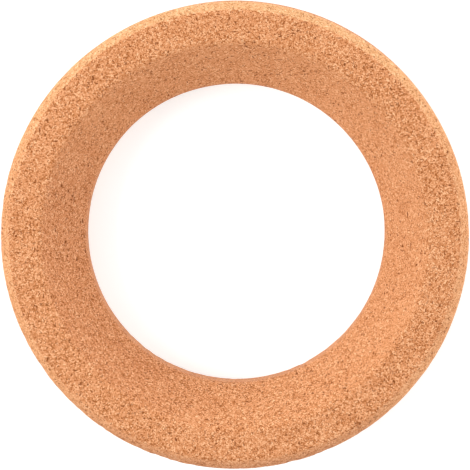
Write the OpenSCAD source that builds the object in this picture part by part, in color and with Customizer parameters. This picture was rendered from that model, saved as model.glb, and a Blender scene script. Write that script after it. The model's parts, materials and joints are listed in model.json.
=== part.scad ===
// Cork ring: a round-bottomed flask stands in its sloped seat.
// One piece of pressed cork, turned to shape. The origin is the centre of
// the base, +Z is up, and all sizes are in millimetres.

/* [Ring] */
// Outside diameter
outer_d = 140; // [120:1:220]
// Diameter of the hole, along its straight stretch
bore_d = 90; // [50:1:110]
// Height, from the base to the flat rim
height = 30; // [18:1:60]

/* [Rim] */
// Width of the flat rim, from the outer bevel to the seat
rim_w = 9.4; // [5:0.1:18]
// How far the outer bevel reaches in from the outside wall
bevel_w = 2.7; // [1.5:0.1:6]
// How far the outer bevel reaches down the outside wall
bevel_h = 3.6; // [1.5:0.1:8]

/* [Hole] */
// Height of the hole's straight stretch, below the sloped seat
land_h = 12.8; // [7:0.1:18]

/* [Edges] */
// Radius of the edge where the flat rim turns down into the seat
crest_r = 2.5; // [0.5:0.1:4]
// Radius of the edge where the seat runs into the straight stretch
lip_r = 4.5; // [0.5:0.1:8]
// Radius of the outer bevel's two edges
bevel_r = 1.2; // [0.4:0.1:2]
// Radius of the base's two edges
base_r = 1; // [0.4:0.1:3]

/* [Hidden] */
$fn = 240;
outer_r = outer_d / 2;
bore_r = bore_d / 2;
flat_r = outer_r - bevel_w;
seat_r = flat_r - rim_w;
cork = [0.87, 0.60, 0.41];

// The section's corners as [radius from the axis, height, edge radius],
// counter-clockwise from the foot of the hole.
CORNERS = [
    [bore_r, 0, base_r],
    [outer_r, 0, base_r],
    [outer_r, height - bevel_h, bevel_r],
    [flat_r, height, bevel_r],
    [seat_r, height, crest_r],
    [bore_r, land_h, lip_r]
];

// The corner's own point, without its edge radius.
function spot(i) = [CORNERS[i][0], CORNERS[i][1]];
function before(i) = (i + len(CORNERS) - 1) % len(CORNERS);
function after(i) = (i + 1) % len(CORNERS);

// Unit direction from corner i towards corner j.
function heading(i, j) = (spot(j) - spot(i)) / norm(spot(j) - spot(i));

// Half of the angle between the two sides that meet at corner i.
function half_angle(i) = acos(heading(i, before(i)) * heading(i, after(i))) / 2;

// How far the round's ends lie from corner i, along both of its sides.
function reach(i) = CORNERS[i][2] / tan(half_angle(i));

// Where the round of corner i ends on the side towards corner j.
function round_end(i, j) = spot(i) + reach(i) * heading(i, j);

// Centre of the round of corner i, on the line that halves its angle.
function round_centre(i) =
    let (inward = heading(i, before(i)) + heading(i, after(i)))
    spot(i) + CORNERS[i][2] / sin(half_angle(i)) * inward / norm(inward);

// Half of the ring's section: straight sides that stop where the rounds
// begin, and a full disc in each corner that fills the round.
module section() {
    polygon([for (i = [0 : len(CORNERS) - 1], j = [before(i), after(i)]) round_end(i, j)]);
    for (i = [0 : len(CORNERS) - 1])
        translate(round_centre(i)) circle(r = CORNERS[i][2]);
}

module ring() {
    color(cork) rotate_extrude() section();
}

ring();
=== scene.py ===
import json
import math

import bpy
import numpy as np
from mathutils import Matrix, Vector, kdtree, noise


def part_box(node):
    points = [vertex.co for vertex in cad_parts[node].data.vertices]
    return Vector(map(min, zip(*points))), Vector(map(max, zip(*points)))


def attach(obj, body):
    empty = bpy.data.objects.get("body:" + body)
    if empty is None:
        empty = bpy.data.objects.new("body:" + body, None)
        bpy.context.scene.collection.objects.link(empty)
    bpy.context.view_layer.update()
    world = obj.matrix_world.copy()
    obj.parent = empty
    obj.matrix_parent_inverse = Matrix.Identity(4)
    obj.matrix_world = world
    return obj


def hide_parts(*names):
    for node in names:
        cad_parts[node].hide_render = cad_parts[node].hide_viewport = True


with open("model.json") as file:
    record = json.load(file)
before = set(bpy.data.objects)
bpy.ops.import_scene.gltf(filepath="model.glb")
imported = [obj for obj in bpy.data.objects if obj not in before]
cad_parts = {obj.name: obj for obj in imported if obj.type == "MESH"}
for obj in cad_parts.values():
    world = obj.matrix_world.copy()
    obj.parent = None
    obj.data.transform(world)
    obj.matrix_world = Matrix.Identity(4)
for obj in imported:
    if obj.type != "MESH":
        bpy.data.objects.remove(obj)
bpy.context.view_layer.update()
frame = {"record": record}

MM = 0.001

# ---------------------------------------------------------------- the ring's sizes
_, ring_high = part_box("ring")
OUTER_R = ring_high.x
HEIGHT = ring_high.z
BORE_R = next(m["dims"]["r_mm"] for m in frame["record"]["mounts"] if m["name"] == "bore") * MM
RIM_W = 9.4 * MM
BEVEL_W = 2.7 * MM
BEVEL_H = 3.6 * MM
LAND_H = 12.8 * MM
FLAT_R = OUTER_R - BEVEL_W
SEAT_R = FLAT_R - RIM_W
BEVEL_FOOT = HEIGHT - BEVEL_H

# Edge radii, a little softer than a fresh cut.
CREST_EDGE = 2.5 * MM
LIP_EDGE = 4.5 * MM
BEVEL_EDGE = 1.2 * MM
BASE_EDGE = 1.0 * MM
# Edges tighter than this chip, and wear pale with a painted highlight.
SHARP_EDGE = 2.0 * MM

# ---------------------------------------------------------------- how fine the mesh is
STEPS_ROUND = 760
ARC_STEP = 0.42 * MM
LEAST_ARC_STEPS = 3
# One step length for each straight side.
SIDE_STEPS = {
    "base": 1.5 * MM,
    "wall": 0.82 * MM,
    "bevel": 0.5 * MM,
    "rim": 0.62 * MM,
    "seat": 0.64 * MM,
    "bore": 0.95 * MM,
}


def section_corners():
    """The section's corners: radius, height, edge radius, and the side that follows."""
    return [
        (BORE_R, 0.0, BASE_EDGE, "base"),
        (OUTER_R, 0.0, BASE_EDGE, "wall"),
        (OUTER_R, BEVEL_FOOT, BEVEL_EDGE, "bevel"),
        (FLAT_R, HEIGHT, BEVEL_EDGE, "rim"),
        (SEAT_R, HEIGHT, CREST_EDGE, "seat"),
        (BORE_R, LAND_H, LIP_EDGE, "bore"),
    ]


def rounded_outline(corners):
    """Walks round the section and returns its points, the outward normal at each, and the side it is on."""
    spots = [Vector((r, z)) for r, z, _, _ in corners]
    count = len(corners)
    rounds = []
    for i, (_, _, radius, _) in enumerate(corners):
        back = (spots[i - 1] - spots[i]).normalized()
        ahead = (spots[(i + 1) % count] - spots[i]).normalized()
        half = back.angle(ahead) / 2
        centre = spots[i] + (back + ahead).normalized() * (radius / math.sin(half))
        reach = radius / math.tan(half)
        rounds.append((spots[i] + back * reach, spots[i] + ahead * reach, centre, radius))
    points = []
    normals = []
    sides = []
    for i, (start, end, centre, radius) in enumerate(rounds):
        a0 = math.atan2(*(start - centre).yx)
        turn = (math.atan2(*(end - centre).yx) - a0) % math.tau
        steps = max(LEAST_ARC_STEPS, round(turn * radius / ARC_STEP))
        for k in range(steps + 1):
            a = a0 + turn * k / steps
            out = Vector((math.cos(a), math.sin(a)))
            points.append(centre + out * radius)
            normals.append(out)
            sides.append("edge" if radius < SHARP_EDGE else "round")
        side = corners[i][3]
        goal = rounds[(i + 1) % count][0]
        steps = round((goal - end).length / SIDE_STEPS[side])
        for k in range(1, steps):
            points.append(end.lerp(goal, k / steps))
            normals.append(normals[-1])
            sides.append(side)
    return np.array(points), np.array(normals), sides


def revolve(points, normals):
    """Turns the outline about Z. Returns the places and normals, one row per step round."""
    a = np.linspace(0, math.tau, STEPS_ROUND, endpoint=False)[:, None]

    def turned(rz):
        return np.stack([np.cos(a) * rz[:, 0], np.sin(a) * rz[:, 0], np.ones_like(a) * rz[:, 1]], axis=-1)

    return turned(points), turned(normals)


# How far apart the noise of two neighbouring seeds lies.
SEED_SHIFT = (7.31, 3.17, 5.77)


def noise_field(places, size, seed):
    """Smooth noise from about -1 to 1 at each place. Size is the width of its lumps."""
    shift = Vector([seed * step for step in SEED_SHIFT])
    flat = places.reshape(-1, 3) / size
    values = np.fromiter((noise.noise(Vector(p) + shift) for p in flat), float, len(flat))
    return values.reshape(places.shape[:2])


# ---------------------------------------------------------------- relief that the mesh itself holds
# Each kind of unevenness: how wide its lumps are, and how far they stand out.
WAVE = (16 * MM, 0.07 * MM)
LUMPS = (2.8 * MM, 0.009 * MM)
GRAINS = (1.2 * MM, 0.008 * MM)
# How rough each side is: pressed or sawn faces are coarse, turned and sanded ones fine.
ROUGHNESS = {
    "base": 1.0,
    "wall": 1.0,
    "bevel": 0.55,
    "rim": 1.0,
    "seat": 0.5,
    "bore": 0.6,
    "edge": 0.7,
    "round": 0.6,
}
# How thickly granules have come out of each side.
PIT_SHARES = {
    "base": 1.0,
    "wall": 1.0,
    "bevel": 0.5,
    "rim": 1.0,
    "seat": 0.3,
    "bore": 0.6,
    "edge": 0.6,
    "round": 0.5,
}
PIT_COUNT = 1100
PIT_RADII = (0.45 * MM, 1.0 * MM)
PIT_DEPTHS = (0.06 * MM, 0.21 * MM)
CHIP_COUNT = 260
CHIP_RADII = (0.8 * MM, 2.2 * MM)
CHIP_DEPTHS = (0.10 * MM, 0.30 * MM)
# How far the outline of a pit or a chip strays from round, and how wide its bumps are.
RAGGED = 0.3
RAGGED_SIZE = 0.9 * MM
# How a pit or a chip falls off from its middle to its outline.
FALL_POWER = 1.5
# One seed for each noise, and one for the draws.
WAVE_SEED, LUMP_SEED, GRAIN_SEED, RAGGED_SEED = 1, 2, 3, 4
DRAW_SEED = 20


def bite(tree, depth, pits, centre, radius, deep, rough):
    """Sinks the surface round one point, as where a granule has come out."""
    for _, index, distance in tree.find_range(centre, radius * (1 + RAGGED)):
        u = distance / (radius * (1 + RAGGED * rough[index]))
        if u < 1:
            fall = (1 - u * u) ** FALL_POWER
            depth[index] = max(depth[index], deep * fall)
            pits[index] = max(pits[index], fall)


def relief(places, sides, rng):
    """How far each vertex moves along its normal, and how far it lies inside a pit."""
    rough = np.array([ROUGHNESS[s] for s in sides])[None, :]
    layers = ((WAVE_SEED, WAVE, 1), (LUMP_SEED, LUMPS, rough), (GRAIN_SEED, GRAINS, rough))
    move = sum(noise_field(places, size, seed) * height * share for seed, (size, height), share in layers)
    flat = places.reshape(-1, 3)
    tree = kdtree.KDTree(len(flat))
    for index, place in enumerate(flat):
        tree.insert(place, index)
    tree.balance()
    ragged = noise_field(places, RAGGED_SIZE, RAGGED_SEED).ravel()
    depth = np.zeros(len(flat))
    pits = np.zeros(len(flat))
    # A vertex stands for more area on the coarse sides, so areas weight the draw.
    share = np.array([PIT_SHARES[s] * SIDE_STEPS.get(s, ARC_STEP) for s in sides])
    weight = (share[None, :] * np.hypot(places[..., 0], places[..., 1])).ravel()
    # Small pits and chips are commoner than large ones, so their draws are squared.
    for index in rng.choice(len(flat), PIT_COUNT, p=weight / weight.sum()):
        size = rng.uniform() ** 2
        bite(tree, depth, pits, flat[index], np.interp(size, (0, 1), PIT_RADII),
             np.interp(rng.uniform(), (0, 1), PIT_DEPTHS), ragged)
    edges = np.flatnonzero(np.tile([s == "edge" for s in sides], len(places)))
    for index in rng.choice(edges, CHIP_COUNT):
        bite(tree, depth, pits, flat[index], np.interp(rng.uniform() ** 2, (0, 1), CHIP_RADII),
             np.interp(rng.uniform(), (0, 1), CHIP_DEPTHS), ragged)
    return move - depth.reshape(move.shape), pits


def make_ring():
    """The turned ring as one closed mesh, slightly uneven, with its pits and chipped edges."""
    rng = np.random.default_rng(DRAW_SEED)
    points, normals, sides = rounded_outline(section_corners())
    places, outward = revolve(points, normals)
    move, pits = relief(places, sides, rng)
    moved = places + outward * move[..., None]
    # Nothing bulges out of the ring's own height, so it still stands flat.
    moved[..., 2] = moved[..., 2].clip(0, HEIGHT)
    rounds, along = move.shape
    i, j = np.meshgrid(np.arange(rounds), np.arange(along), indexing="ij")
    i2, j2 = (i + 1) % rounds, (j + 1) % along
    faces = np.stack([i * along + j, i2 * along + j, i2 * along + j2, i * along + j2], axis=-1).reshape(-1, 4)
    mesh = bpy.data.meshes.new("cork_ring")
    mesh.from_pydata(moved.reshape(-1, 3).tolist(), [], faces.tolist())
    mesh.polygons.foreach_set("use_smooth", np.ones(len(mesh.polygons), bool))
    mesh.attributes.new("pit", "FLOAT", "POINT").data.foreach_set("value", pits)
    edges = np.tile([float(s == "edge") for s in sides], rounds)
    mesh.attributes.new("edge", "FLOAT", "POINT").data.foreach_set("value", edges)
    mesh.update()
    piece = bpy.data.objects.new("cork_ring", mesh)
    bpy.context.scene.collection.objects.link(piece)
    return piece


# ---------------------------------------------------------------- node helpers
def put(tree, kind, values=(), **settings):
    """Adds a node, with its settings, and fills or links its inputs by name or number."""
    node = tree.nodes.new(kind)
    for key, value in settings.items():
        setattr(node, key, value)
    for key, value in dict(values).items():
        if isinstance(value, bpy.types.NodeSocket):
            tree.links.new(value, node.inputs[key])
        else:
            node.inputs[key].default_value = value
    return node


def sums(tree, kind, *values, clamp=False):
    """One Math node's result."""
    return put(tree, "ShaderNodeMath", enumerate(values), operation=kind, use_clamp=clamp).outputs[0]


def times(tree, first, second):
    """One value times another."""
    return sums(tree, "MULTIPLY", first, second)


def one_minus(tree, value):
    """What is left of 1 after the value."""
    return sums(tree, "SUBTRACT", 1.0, value)


def mixed(tree, factor, first, second):
    """Two values mixed by a factor."""
    return put(tree, "ShaderNodeMix", {0: factor, 2: first, 3: second}, data_type="FLOAT").outputs[0]


def blend(tree, factor, first, second, mode="MIX"):
    """Two colours mixed by a factor."""
    values = {0: factor, 6: first, 7: second}
    return put(tree, "ShaderNodeMix", values, data_type="RGBA", blend_type=mode).outputs[2]


def smooth(tree, value, low, high, to_low=0.0, to_high=1.0):
    """A soft step from one value to another as the input passes from low to high."""
    names = {"Value": value, "From Min": low, "From Max": high, "To Min": to_low, "To Max": to_high}
    return put(tree, "ShaderNodeMapRange", names, interpolation_type="SMOOTHSTEP").outputs[0]


def vectors(tree, kind, first, second):
    """One Vector Math node's result."""
    return put(tree, "ShaderNodeVectorMath", {0: first, 1: second}, operation=kind).outputs[0]


def scaled(tree, vector, factor):
    """A vector times a number."""
    return put(tree, "ShaderNodeVectorMath", {0: vector, "Scale": factor}, operation="SCALE").outputs[0]


def soft_noise(tree, place, scale, detail, roughness=0.5):
    """A Noise Texture node. Its values lie mostly within NOISE_SPAN."""
    names = {"Vector": place, "Scale": scale, "Detail": detail, "Roughness": roughness}
    return put(tree, "ShaderNodeTexNoise", names)


def painted(tree, name):
    """A mask that the mesh holds."""
    return put(tree, "ShaderNodeAttribute", attribute_name=name).outputs["Fac"]


def ramp(tree, factor, stops):
    """A colour ramp: stops are (position, colour)."""
    node = put(tree, "ShaderNodeValToRGB", {0: factor})
    band = node.color_ramp.elements
    while len(band) < len(stops):
        band.new(0.5)
    for element, (position, colour) in zip(band, stops):
        element.position = position
        element.color = colour
    return node.outputs[0]


def new_group(name, inputs, outputs):
    """An empty node group with named sockets. Returns the tree, its input node and its output node."""
    tree = bpy.data.node_groups.new(name, "ShaderNodeTree")
    for label, kind, default in inputs:
        socket = tree.interface.new_socket(label, in_out="INPUT", socket_type=kind)
        if default is not None:
            socket.default_value = default
    for label in outputs:
        tree.interface.new_socket(label, in_out="OUTPUT", socket_type=FLOAT)
    return tree, tree.nodes.new("NodeGroupInput"), tree.nodes.new("NodeGroupOutput")


def place_group(tree, group, **values):
    """Puts a node group into a tree, with its inputs filled by name."""
    node = tree.nodes.new("ShaderNodeGroup")
    node.node_tree = group
    for key, value in values.items():
        if isinstance(value, bpy.types.NodeSocket):
            tree.links.new(value, node.inputs[key])
        else:
            node.inputs[key].default_value = value
    return node


FLOAT = "NodeSocketFloat"
VECTOR = "NodeSocketVector"
# Nearly all the values of a Noise Texture lie between these.
NOISE_SPAN = (0.3, 0.7)

# ---------------------------------------------------------------- granules
# How granule outlines are bent: the noise's scale, detail and roughness.
BEND_NOISE = (1.6, 2.0, 0.6)
# How near its edge a granule turns into seam, as a share of its size.
SEAM_SPAN = (0.02, 0.12)


def granule_group():
    """Crushed cork: granules of random tone with ragged outlines, and the seams between them."""
    tree, given, out = new_group(
        "cork granules",
        [("Place", VECTOR, None), ("Size", FLOAT, 1.0), ("Raggedness", FLOAT, 0.3), ("Shift", VECTOR, None)],
        ["Tone", "Tint", "Choice", "Seam"])
    moved = vectors(tree, "ADD", given.outputs["Place"], given.outputs["Shift"])
    rough = soft_noise(tree, moved, *BEND_NOISE).outputs["Color"]
    centred = vectors(tree, "SUBTRACT", rough, (0.5, 0.5, 0.5))
    bent = vectors(tree, "ADD", moved, scaled(tree, centred, given.outputs["Raggedness"]))
    scale = sums(tree, "DIVIDE", 1.0, given.outputs["Size"])
    cells = put(tree, "ShaderNodeTexVoronoi", {"Vector": bent, "Scale": scale}, feature="F1")
    parts = put(tree, "ShaderNodeSeparateColor", {0: cells.outputs["Color"]})
    gap = put(tree, "ShaderNodeTexVoronoi", {"Vector": bent, "Scale": scale}, feature="DISTANCE_TO_EDGE")
    tree.links.new(parts.outputs[0], out.inputs["Tone"])
    tree.links.new(parts.outputs[1], out.inputs["Tint"])
    tree.links.new(parts.outputs[2], out.inputs["Choice"])
    tree.links.new(smooth(tree, gap.outputs["Distance"], *SEAM_SPAN, 1.0, 0.0), out.inputs["Seam"])
    return tree


# ---------------------------------------------------------------- zones
# Where each soft step between two zones begins and ends, in millimetres from the edge that it follows.
BASE_FADE = (0.8, 1.6)
CREST_FADE = (-1.0, 1.0)
LIP_FADE = (-1.5, 1.0)
RIM_FADE = (-0.1, 0.6)
FOOT_FADE = (-0.5, 0.2)
OUTSIDE_FADE = (-1.2, -0.4)
# How the rim's outer edge wanders in and out: the noise's scale and detail.
WANDER_NOISE = (0.35, 3.0)


def zone_group():
    """The ring's sides as masks, from the place in millimetres.

    Brim goes from 0 to 1 outwards across the bevel. Facing X and Facing Y say which way a place lies from the
    middle, each from -1 to 1.
    """
    names = ["Seat", "Rim", "Bevel", "Bore", "Wall", "Brim", "Facing X", "Facing Y"]
    tree, given, out = new_group("turned zones", [("Place", VECTOR, None)], names)

    def step(value, edge, fade, *ends):
        """A soft step as the value passes one edge of the section."""
        return smooth(tree, value, edge / MM + fade[0], edge / MM + fade[1], *ends)

    axes = put(tree, "ShaderNodeSeparateXYZ", {0: given.outputs["Place"]})
    flat = put(tree, "ShaderNodeCombineXYZ", {0: axes.outputs[0], 1: axes.outputs[1]}).outputs[0]
    radius = put(tree, "ShaderNodeVectorMath", {0: flat}, operation="LENGTH").outputs["Value"]
    height = axes.outputs[2]
    off_base = step(height, 0, BASE_FADE)
    inside = step(radius, SEAT_R, CREST_FADE, 1.0, 0.0)
    above = step(height, LAND_H, LIP_FADE)
    wander = soft_noise(tree, given.outputs["Place"], *WANDER_NOISE).outputs[0]
    # The noise's mean is 0.5, so the edge wanders to both sides of its true radius.
    worn = sums(tree, "MULTIPLY_ADD", wander, 1.0, sums(tree, "SUBTRACT", radius, 0.5))
    past_rim = step(worn, FLAT_R, RIM_FADE)
    foot = step(height, BEVEL_FOOT, FOOT_FADE)
    outside = step(radius, OUTER_R, OUTSIDE_FADE)
    masks = {
        "Seat": times(tree, inside, above),
        "Rim": times(tree, one_minus(tree, past_rim), foot),
        "Bevel": times(tree, past_rim, foot),
        "Bore": times(tree, times(tree, inside, off_base), one_minus(tree, above)),
        "Wall": times(tree, outside, one_minus(tree, foot)),
        "Brim": smooth(tree, radius, FLAT_R / MM, OUTER_R / MM),
        "Facing X": sums(tree, "DIVIDE", axes.outputs[0], radius),
        "Facing Y": sums(tree, "DIVIDE", axes.outputs[1], radius),
    }
    for name in names:
        tree.links.new(masks[name], out.inputs[name])
    return tree


# ---------------------------------------------------------------- cork
# Cork's own colours, as linear albedo, from the darkest granules to the palest.
TONES = [
    (0.00, (0.232, 0.058, 0.007, 1)),
    (0.14, (0.443, 0.155, 0.045, 1)),
    (0.32, (0.544, 0.215, 0.083, 1)),
    (0.50, (0.596, 0.248, 0.103, 1)),
    (0.68, (0.647, 0.282, 0.126, 1)),
    (0.86, (0.727, 0.346, 0.167, 1)),
    (1.00, (0.826, 0.482, 0.267, 1)),
]
# The tone that calm zones are drawn towards.
MIDDLE_TONE = 0.52
BARK = (0.185, 0.045, 0.005, 1)
BINDER = (0.350, 0.123, 0.040, 1)
RUDDY = (0.540, 0.213, 0.085, 1)
# Sanding leaves the cork this much paler, channel by channel.
SANDED = (1.04, 1.12, 1.14, 1)
# Towards +Y the bevel is paler still: a painted highlight. Towards -Y it is hardly sanded and darker: painted
# shade.
PAINTED_HIGHLIGHT = (1.04, 1.18, 1.25, 1)
PAINTED_SHADE = (0.80, 0.78, 0.80, 1)
# The moulded outer wall keeps a slightly darker skin, which also stands in for shade on the side wall.
SKIN_AND_SHADE = (0.92, 0.88, 0.86, 1)
# Worn edges show fresh pale cork, and a painted highlight along them.
WEAR_AND_HIGHLIGHT = (0.810, 0.435, 0.226, 1)

# Granules, with sizes in millimetres. Shift says where a pattern starts.
LARGE_GRANULES = {"Size": 0.60, "Raggedness": 0.45, "Shift": (3, 7, 1)}
SMALL_GRANULES = {"Size": 0.36, "Raggedness": 0.3, "Shift": (11, 2, 5)}
LARGE_SHARE = 0.08
# Some granules are ruddier, some small ones are nearly as dark as bark, seams are darker, and pits get
# painted shade. Each tint says how far the colour goes that way.
RUDDY_FROM = 0.6
RUDDY_TINT = 0.08
BROWN_SHARE = 0.04
BROWN_TINT = 0.6
SEAM_TINT = 0.17
PIT_SHADE = 0.10

# The cell texture within a granule and the mottle of the whole ring: the noise's scale and detail, with the
# cells' roughness, and how far each moves the tone.
CELL_NOISE = (3.2, 2.0, 0.6)
CELL_SHIFT = 0.25
MOTTLE_NOISE = (0.11, 2.0)
MOTTLE_SHIFT = 0.03

# Bark flecks. They lie in patches, given as a noise's scale and detail. A fleck is there where a random
# choice is over the limit, from the sparsest patch to the thickest. Its tint is how near it comes to BARK.
FLECK_SIZE = 0.55
FLECK_RAGGEDNESS = 0.5
FLECK_PATCHES = (0.16, 1.0)
FLECK_LIMITS = (0.996, 0.984)
FLECK_TINTS = (0.4, 0.95)
# How each kind of fleck is squeezed along X, Y and Z, and where its pattern starts.
FLECK_KINDS = [
    ((0.6, 1.7, 1.0), (23, 17, 9)),
    ((1.7, 0.6, 1.0), (5, 29, 13)),
    ((1.0, 1.0, 0.7), (31, 3, 19)),
]

# How far turning and sanding evens out the tones of each zone. The seat goes from its coarsest side to its
# smoothest, which lies towards SMOOTH_SIDE in X and Y.
SMOOTH_SIDE = (0.6, 0.8)
SMOOTH_FADE = (-0.8, 0.3)
SEAT_CALM = (0.028, 0.224)
BEVEL_CALM = 0.22
BORE_CALM = 0.20
# The calm at which the surface is as smooth as it gets.
CALM_SPAN = (0, 0.2)

# How strongly the hole, the seat and the stretch of the bevel under painted shade are sanded paler. The rest
# of the bevel has 1.
BORE_SANDED = 0.45
SEAT_SANDED = 0.45
SHADED_STRETCH_SANDED = 0.2
# Where along Y the bevel's painted shade ends and its painted highlight begins, from -1 to 1.
SHADE_FADE = (-0.98, -0.55)
HIGHLIGHT_FADE = (0.2, 1.0)
# The seat is less sanded and a little darker towards this side in X and Y: painted shade.
SHADED_SEAT_SIDE = (-0.9, -0.4)
SHADED_SEAT_FADE = (0.4, 0.9)
SEAT_SHADE = 0.22
# How much the painted shade and the edge wear with its painted highlight vary with the cell texture, and
# how much of the edge wear is left on the stretch with painted shade.
SHADE_CELLS = (0.3, 0.6, 1.0, 0.7)
WEAR_AND_HIGHLIGHT_CELLS = (0.35, 0.6, 0.12, 0.42)
SHADED_STRETCH_WEAR = 0.3

# Heights of the fine relief in millimetres, and the share of them that sanding leaves.
TONE_RISE = 0.012
CELL_RISE = 0.016
SEAM_SINK = 0.010
BARK_SINK = 0.04
SANDED_RISE = 0.7
SAWN_ROUGHNESS = 0.85
SANDED_ROUGHNESS = 0.75
CORK_SHEEN = 0.25


def facing(tree, zones, side):
    """How far a place lies towards one side: about 1 there, and about -1 opposite."""
    along_y = times(tree, zones.outputs["Facing Y"], side[1])
    return sums(tree, "MULTIPLY_ADD", zones.outputs["Facing X"], side[0], along_y)


def calm_mask(tree, zones):
    """How far the granules' tones are evened out at each place."""
    seat_calm = smooth(tree, facing(tree, zones, SMOOTH_SIDE), *SMOOTH_FADE, *SEAT_CALM)
    calm = times(tree, zones.outputs["Seat"], seat_calm)
    calm = sums(tree, "MULTIPLY_ADD", zones.outputs["Bevel"], BEVEL_CALM, calm)
    return sums(tree, "MULTIPLY_ADD", zones.outputs["Bore"], BORE_CALM, calm)


def bark_mask(tree, granules, place):
    """Dark bark flecks, short or long, some brown and some nearly black, thicker in some patches."""
    patch = soft_noise(tree, place, *FLECK_PATCHES).outputs[0]
    limit = smooth(tree, patch, *NOISE_SPAN, *FLECK_LIMITS)
    bark = 0.0
    for squeeze, shift in FLECK_KINDS:
        squeezed = vectors(tree, "MULTIPLY", place, squeeze)
        flecks = place_group(tree, granules, Place=squeezed, Size=FLECK_SIZE, Raggedness=FLECK_RAGGEDNESS,
                             Shift=shift)
        found = sums(tree, "GREATER_THAN", flecks.outputs["Choice"], limit)
        tint = smooth(tree, flecks.outputs["Tone"], 0, 1, *FLECK_TINTS)
        bark = sums(tree, "MULTIPLY_ADD", found, tint, bark, clamp=True)
    return bark


def finished(tree, colour, zones, cells):
    """The cork's colour once the ring is sanded and worn, with painted shade and painted highlights."""
    seat, bevel, wall, north = (zones.outputs[name] for name in ("Seat", "Bevel", "Wall", "Facing Y"))
    unshaded = smooth(tree, north, *SHADE_FADE)
    # One side of the seat is less sanded and gets painted shade.
    shaded_seat = times(tree, seat, smooth(tree, facing(tree, zones, SHADED_SEAT_SIDE), *SHADED_SEAT_FADE))

    # Sanding leaves the bevel paler, and the seat and the hole's straight stretch a little; less under
    # painted shade.
    sanded = times(tree, bevel, smooth(tree, unshaded, 0, 1, SHADED_STRETCH_SANDED, 1.0))
    sanded = sums(tree, "MULTIPLY_ADD", zones.outputs["Bore"], BORE_SANDED, sanded)
    sanded = sums(tree, "MULTIPLY_ADD", sums(tree, "SUBTRACT", seat, shaded_seat), SEAT_SANDED, sanded)
    colour = blend(tree, sanded, colour, SANDED, "MULTIPLY")
    # A painted highlight on the bevel towards +Y.
    highlight = times(tree, bevel, smooth(tree, north, *HIGHLIGHT_FADE))
    colour = blend(tree, highlight, colour, PAINTED_HIGHLIGHT, "MULTIPLY")

    # Painted shade darkens the brim unevenly towards -Y, and one side of the seat a little.
    shade = times(tree, zones.outputs["Brim"], one_minus(tree, unshaded))
    shade = times(tree, shade, smooth(tree, cells, *SHADE_CELLS))
    shade = times(tree, shade, one_minus(tree, wall))
    shade = sums(tree, "MULTIPLY_ADD", shaded_seat, SEAT_SHADE, shade)
    colour = blend(tree, shade, colour, PAINTED_SHADE, "MULTIPLY")
    # The wall's darker skin, partly painted shade.
    colour = blend(tree, wall, colour, SKIN_AND_SHADE, "MULTIPLY")

    # Edges wear pale, partly a painted highlight; the flat of the rim keeps its tone.
    wear_and_highlight = times(tree, smooth(tree, cells, *WEAR_AND_HIGHLIGHT_CELLS), smooth(tree, unshaded, 0, 1, SHADED_STRETCH_WEAR, 1.0))
    wear_and_highlight = times(tree, wear_and_highlight, one_minus(tree, zones.outputs["Rim"]))
    return blend(tree, times(tree, painted(tree, "edge"), wear_and_highlight), colour, WEAR_AND_HIGHLIGHT)


def cork_material():
    """Pressed cork granules, coarse on the sawn faces and paler and finer where it was sanded."""
    material = bpy.data.materials.new("pressed_cork")
    material.use_nodes = True
    tree = material.node_tree
    shader = tree.nodes["Principled BSDF"]
    granules = granule_group()
    coords = put(tree, "ShaderNodeTexCoord").outputs["Object"]
    place = scaled(tree, coords, 1 / MM)
    zones = place_group(tree, zone_group(), Place=place)

    # Large granules lie among small ones.
    coarse = place_group(tree, granules, Place=place, **LARGE_GRANULES)
    fine = place_group(tree, granules, Place=place, **SMALL_GRANULES)
    large = sums(tree, "LESS_THAN", coarse.outputs["Choice"], LARGE_SHARE)
    tone, tint, seam = (mixed(tree, large, fine.outputs[name], coarse.outputs[name])
                        for name in ("Tone", "Tint", "Seam"))

    # Each granule has fine cell texture of its own, and the whole ring is faintly mottled.
    cells = soft_noise(tree, place, *CELL_NOISE).outputs[0]
    mottle = soft_noise(tree, place, *MOTTLE_NOISE).outputs[0]
    grain = sums(tree, "ADD", tone, smooth(tree, cells, *NOISE_SPAN, -CELL_SHIFT, CELL_SHIFT))
    grain = sums(tree, "ADD", grain, smooth(tree, mottle, *NOISE_SPAN, -MOTTLE_SHIFT, MOTTLE_SHIFT))
    calm = calm_mask(tree, zones)
    colour = ramp(tree, mixed(tree, calm, grain, MIDDLE_TONE), TONES)
    colour = blend(tree, smooth(tree, tint, RUDDY_FROM, 1.0, 0.0, RUDDY_TINT), colour, RUDDY)
    colour = blend(tree, times(tree, seam, SEAM_TINT), colour, BINDER)

    bark = bark_mask(tree, granules, place)
    colour = blend(tree, bark, colour, BARK)
    brown = sums(tree, "LESS_THAN", fine.outputs["Choice"], BROWN_SHARE)
    colour = blend(tree, times(tree, brown, BROWN_TINT), colour, BARK)
    # Painted shade in the pits.
    colour = blend(tree, times(tree, painted(tree, "pit"), PIT_SHADE), colour, BARK)
    tree.links.new(finished(tree, colour, zones, cells), shader.inputs["Base Color"])

    # Granules stand proud or sunk, with grooves between them, and bark lies deeper.
    height = times(tree, tone, TONE_RISE)
    height = sums(tree, "MULTIPLY_ADD", cells, CELL_RISE, height)
    height = sums(tree, "MULTIPLY_ADD", seam, -SEAM_SINK, height)
    height = sums(tree, "MULTIPLY_ADD", bark, -BARK_SINK, height)
    height = times(tree, height, smooth(tree, calm, *CALM_SPAN, 1.0, SANDED_RISE))
    bump = put(tree, "ShaderNodeBump", {"Height": height, "Strength": 1.0, "Distance": MM})
    tree.links.new(bump.outputs[0], shader.inputs["Normal"])
    roughness = smooth(tree, calm, *CALM_SPAN, SAWN_ROUGHNESS, SANDED_ROUGHNESS)
    tree.links.new(roughness, shader.inputs["Roughness"])
    shader.inputs["Specular IOR Level"].default_value = CORK_SHEEN
    return material


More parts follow.
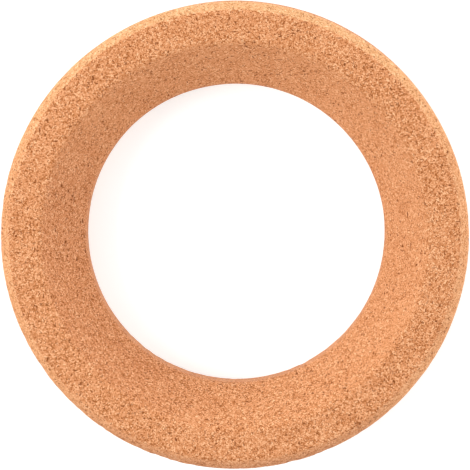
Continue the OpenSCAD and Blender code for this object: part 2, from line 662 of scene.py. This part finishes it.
# ---------------------------------------------------------------- floor, light and camera
FLOOR_HALF = 6.0
FLOOR_COLOUR = (0.68, 0.72, 0.73, 1)
FLOOR_ROUGHNESS = 0.9
FLOOR_SHEEN = 0.1
# The floor's own glow is slightly cool, because the cork throws warm light on it.
GLOW_COLOUR = (0.96, 1.0, 1.01, 1)
GLOW_STRENGTH = 0.50


def make_floor():
    """A plain pale floor that also glows, so it stays white and nearly free of shadow beside the ring."""
    mesh = bpy.data.meshes.new("floor")
    h = FLOOR_HALF
    mesh.from_pydata([(-h, -h, 0), (h, -h, 0), (h, h, 0), (-h, h, 0)], [], [(0, 1, 2, 3)])
    floor = bpy.data.objects.new("floor", mesh)
    bpy.context.scene.collection.objects.link(floor)
    material = bpy.data.materials.new("pale_floor")
    material.use_nodes = True
    shader = material.node_tree.nodes["Principled BSDF"]
    shader.inputs["Base Color"].default_value = FLOOR_COLOUR
    shader.inputs["Roughness"].default_value = FLOOR_ROUGHNESS
    shader.inputs["Specular IOR Level"].default_value = FLOOR_SHEEN
    shader.inputs["Emission Color"].default_value = GLOW_COLOUR
    shader.inputs["Emission Strength"].default_value = GLOW_STRENGTH
    mesh.materials.append(material)


SKY_COLOUR = (1.0, 0.99, 0.98, 1)
SKY_STRENGTH = 0.83


def make_world():
    """Even light from all round."""
    world = bpy.data.worlds.new("studio")
    world.use_nodes = True
    sky = world.node_tree.nodes["Background"]
    sky.inputs["Color"].default_value = SKY_COLOUR
    sky.inputs["Strength"].default_value = SKY_STRENGTH
    bpy.context.scene.world = world


SOFTBOX_SIZE = 0.9
SOFTBOX_DISTANCE = 1.5
# Each softbox: its name, its turn round from +X and its rise above the floor in degrees, and its power.
SOFTBOXES = [
    ("key", 180, 40, 13.6),
    ("side_fill", 0, 15, 10.3),
    ("back_fill", 90, 15, 10.3),
]


def make_softbox(name, turn, rise, power):
    """A square soft light that points at the ring."""
    t = math.radians(turn)
    r = math.radians(rise)
    away = Vector((math.cos(t) * math.cos(r), math.sin(t) * math.cos(r), math.sin(r)))
    light = bpy.data.lights.new(name, "AREA")
    light.shape = "SQUARE"
    light.size = SOFTBOX_SIZE
    light.energy = power
    lamp = bpy.data.objects.new(name, light)
    lamp.location = away * SOFTBOX_DISTANCE
    lamp.rotation_mode = "QUATERNION"
    lamp.rotation_quaternion = away.to_track_quat("Z", "Y")
    bpy.context.scene.collection.objects.link(lamp)


# The camera's tilt off the ring's axis and which way it leans, in degrees, its distance, its lens, and the
# point that it looks at.
VIEW_TILT = 3.38
VIEW_TURN = 68.7
VIEW_DISTANCE = 1.5
LENS = 385.4
SENSOR = 36.0
NEAR, FAR = 0.01, 50.0
AIM = Vector((0.0002, 0.0004, HEIGHT))


def make_camera():
    """Looks down on the ring, a few degrees off its axis, through a long lens."""
    t = math.radians(VIEW_TILT)
    a = math.radians(VIEW_TURN)
    away = Vector((math.sin(t) * math.cos(a), math.sin(t) * math.sin(a), math.cos(t)))
    lens = bpy.data.cameras.new("camera")
    lens.lens = LENS
    lens.sensor_width = SENSOR
    lens.clip_start = NEAR
    lens.clip_end = FAR
    camera = bpy.data.objects.new("camera", lens)
    camera.location = AIM + away * VIEW_DISTANCE
    right = Vector((0, 1, 0)).cross(away).normalized()
    camera.rotation_mode = "QUATERNION"
    camera.rotation_quaternion = Matrix((right, away.cross(right), away)).transposed().to_quaternion()
    bpy.context.scene.collection.objects.link(camera)
    bpy.context.scene.camera = camera


make_camera()
make_world()
make_floor()
for softbox in SOFTBOXES:
    make_softbox(*softbox)
bpy.context.scene.view_settings.view_transform = "Standard"

ring = make_ring()
ring.data.materials.append(cork_material())
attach(ring, "root")
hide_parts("ring")
